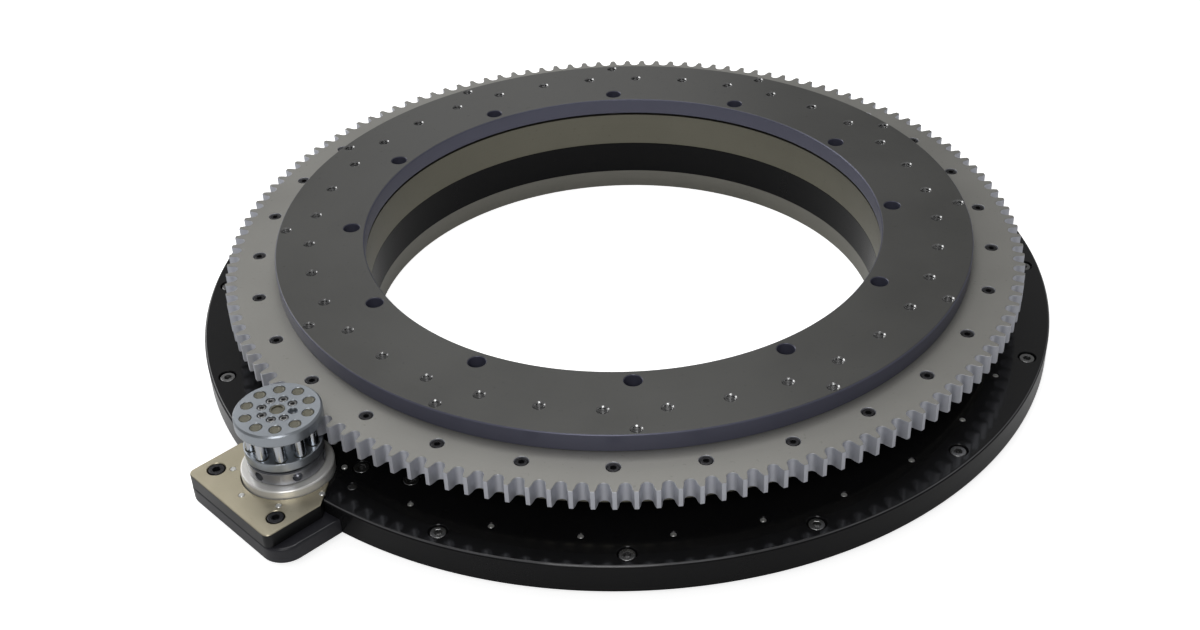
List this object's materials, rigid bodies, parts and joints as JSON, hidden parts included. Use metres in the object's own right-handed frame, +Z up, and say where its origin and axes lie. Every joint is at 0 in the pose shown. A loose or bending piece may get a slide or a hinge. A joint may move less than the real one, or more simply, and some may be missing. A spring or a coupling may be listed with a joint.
{
  "type": "rotary indexer",
  "caption": "Large ring-shaped rotary indexing table on a crossed roller bearing, turned by a roller pinion that meshes with the outer ring gear.",
  "frame": {"origin": "on the table's axis at the underside of the base plate", "axes": "+Z up along the table's axis out of the work face; -Y towards the picture's viewer, so the pinion lies at 223.15 degrees from +X"},
  "size_m": [0.7779, 0.7779, 0.1037],
  "materials": {
    "base_black": "gloss",
    "plate_dark": "satin",
    "gear_steel": "satin",
    "bearing_steel": "satin",
    "ground_steel": "satin",
    "pinion_steel": "satin",
    "adapter_steel": "satin",
    "fastener_steel": "polished",
    "spring_steel": "satin",
    "cage_brass": "satin",
    "seal_rubber": "matte"
  },
  "bodies": {
    "base": {"base_plate": "base_black", "pilot_ring": "ground_steel", "pilot_screws": "fastener_steel", "base_screws": "fastener_steel", "edge_plugs": "fastener_steel", "inner_ring": "bearing_steel", "inner_ring_screws": "fastener_steel", "pinion_carrier": "base_black", "carrier_screws": "fastener_steel", "carrier_dowels": "fastener_steel", "adapter_plate": "adapter_steel", "adapter_screws": "fastener_steel", "bearing_housing": "ground_steel", "housing_screws": "fastener_steel", "shaft_seal": "seal_rubber", "lower_outer_race": "ground_steel", "upper_outer_race": "ground_steel", "outer_race_spacer": "ground_steel", "housing_snap_ring": "spring_steel"},
    "table": {"outer_ring_lower": "bearing_steel", "outer_ring_upper": "bearing_steel", "outer_ring_screws": "fastener_steel", "ring_gear": "gear_steel", "gear_screws": "fastener_steel", "top_plate": "plate_dark", "table_dowels": "fastener_steel", "upper_seal": "seal_rubber", "lower_seal": "seal_rubber"},
    "bearing_rollers": {"crossed_rollers": "ground_steel", "roller_cage": "cage_brass"},
    "pinion": {"pinion_shaft": "pinion_steel", "pinion_core": "pinion_steel", "pinion_cap": "pinion_steel", "upper_needle_cups": "bearing_steel", "lower_needle_cups": "bearing_steel", "pinion_screws": "fastener_steel", "pinion_dowel": "fastener_steel", "centre_plug": "bearing_steel", "lower_inner_race": "ground_steel", "upper_inner_race": "ground_steel", "inner_race_spacer": "ground_steel", "shaft_snap_ring": "spring_steel"},
    "bearing_balls": {"lower_balls": "ground_steel", "upper_balls": "ground_steel", "lower_ball_cage": "cage_brass", "upper_ball_cage": "cage_brass"},
    "roller_1": {"pinion_roller_1": "fastener_steel"},
    "roller_2": {"pinion_roller_2": "fastener_steel"},
    "roller_3": {"pinion_roller_3": "fastener_steel"},
    "roller_4": {"pinion_roller_4": "fastener_steel"},
    "roller_5": {"pinion_roller_5": "fastener_steel"},
    "roller_6": {"pinion_roller_6": "fastener_steel"},
    "roller_7": {"pinion_roller_7": "fastener_steel"},
    "roller_8": {"pinion_roller_8": "fastener_steel"},
    "roller_9": {"pinion_roller_9": "fastener_steel"},
    "roller_10": {"pinion_roller_10": "fastener_steel"}
  },
  "joints": [
    {"name": "table_turn", "type": "hinge", "parent": "base", "child": "table", "pos_m": [0, 0, 0], "axis": [0, 0, 1], "continuous": true},
    {"name": "bearing_roller_orbit", "type": "hinge", "parent": "base", "child": "bearing_rollers", "pos_m": [0, 0, 0], "axis": [0, 0, 1], "continuous": true},
    {"name": "pinion_turn", "type": "hinge", "parent": "base", "child": "pinion", "pos_m": [-0.27867, -0.26123, 0], "axis": [0, 0, 1], "continuous": true},
    {"name": "bearing_ball_orbit", "type": "hinge", "parent": "base", "child": "bearing_balls", "pos_m": [-0.27867, -0.26123, 0], "axis": [0, 0, 1], "continuous": true},
    {"name": "roller_1_spin", "type": "hinge", "parent": "pinion", "child": "roller_1", "pos_m": [-0.26547, -0.23946, 0], "axis": [0, 0, 1], "continuous": true},
    {"name": "roller_2_spin", "type": "hinge", "parent": "pinion", "child": "roller_2", "pos_m": [-0.28079, -0.23586, 0], "axis": [0, 0, 1], "continuous": true},
    {"name": "roller_3_spin", "type": "hinge", "parent": "pinion", "child": "roller_3", "pos_m": [-0.2953, -0.24195, 0], "axis": [0, 0, 1], "continuous": true},
    {"name": "roller_4_spin", "type": "hinge", "parent": "pinion", "child": "roller_4", "pos_m": [-0.30346, -0.2554, 0], "axis": [0, 0, 1], "continuous": true},
    {"name": "roller_5_spin", "type": "hinge", "parent": "pinion", "child": "roller_5", "pos_m": [-0.30216, -0.27109, 0], "axis": [0, 0, 1], "continuous": true},
    {"name": "roller_6_spin", "type": "hinge", "parent": "pinion", "child": "roller_6", "pos_m": [-0.29188, -0.28301, 0], "axis": [0, 0, 1], "continuous": true},
    {"name": "roller_7_spin", "type": "hinge", "parent": "pinion", "child": "roller_7", "pos_m": [-0.27656, -0.28661, 0], "axis": [0, 0, 1], "continuous": true},
    {"name": "roller_8_spin", "type": "hinge", "parent": "pinion", "child": "roller_8", "pos_m": [-0.26205, -0.28052, 0], "axis": [0, 0, 1], "continuous": true},
    {"name": "roller_9_spin", "type": "hinge", "parent": "pinion", "child": "roller_9", "pos_m": [-0.25389, -0.26707, 0], "axis": [0, 0, 1], "continuous": true},
    {"name": "roller_10_spin", "type": "hinge", "parent": "pinion", "child": "roller_10", "pos_m": [-0.25519, -0.25138, 0], "axis": [0, 0, 1], "continuous": true}
  ],
  "couplings": [
    {"joint": "pinion_turn", "follows": "table_turn", "ratio": -14},
    {"joint": "bearing_roller_orbit", "follows": "table_turn", "ratio": 0.50797},
    {"joint": "bearing_ball_orbit", "follows": "table_turn", "ratio": -6.0667}
  ]
}
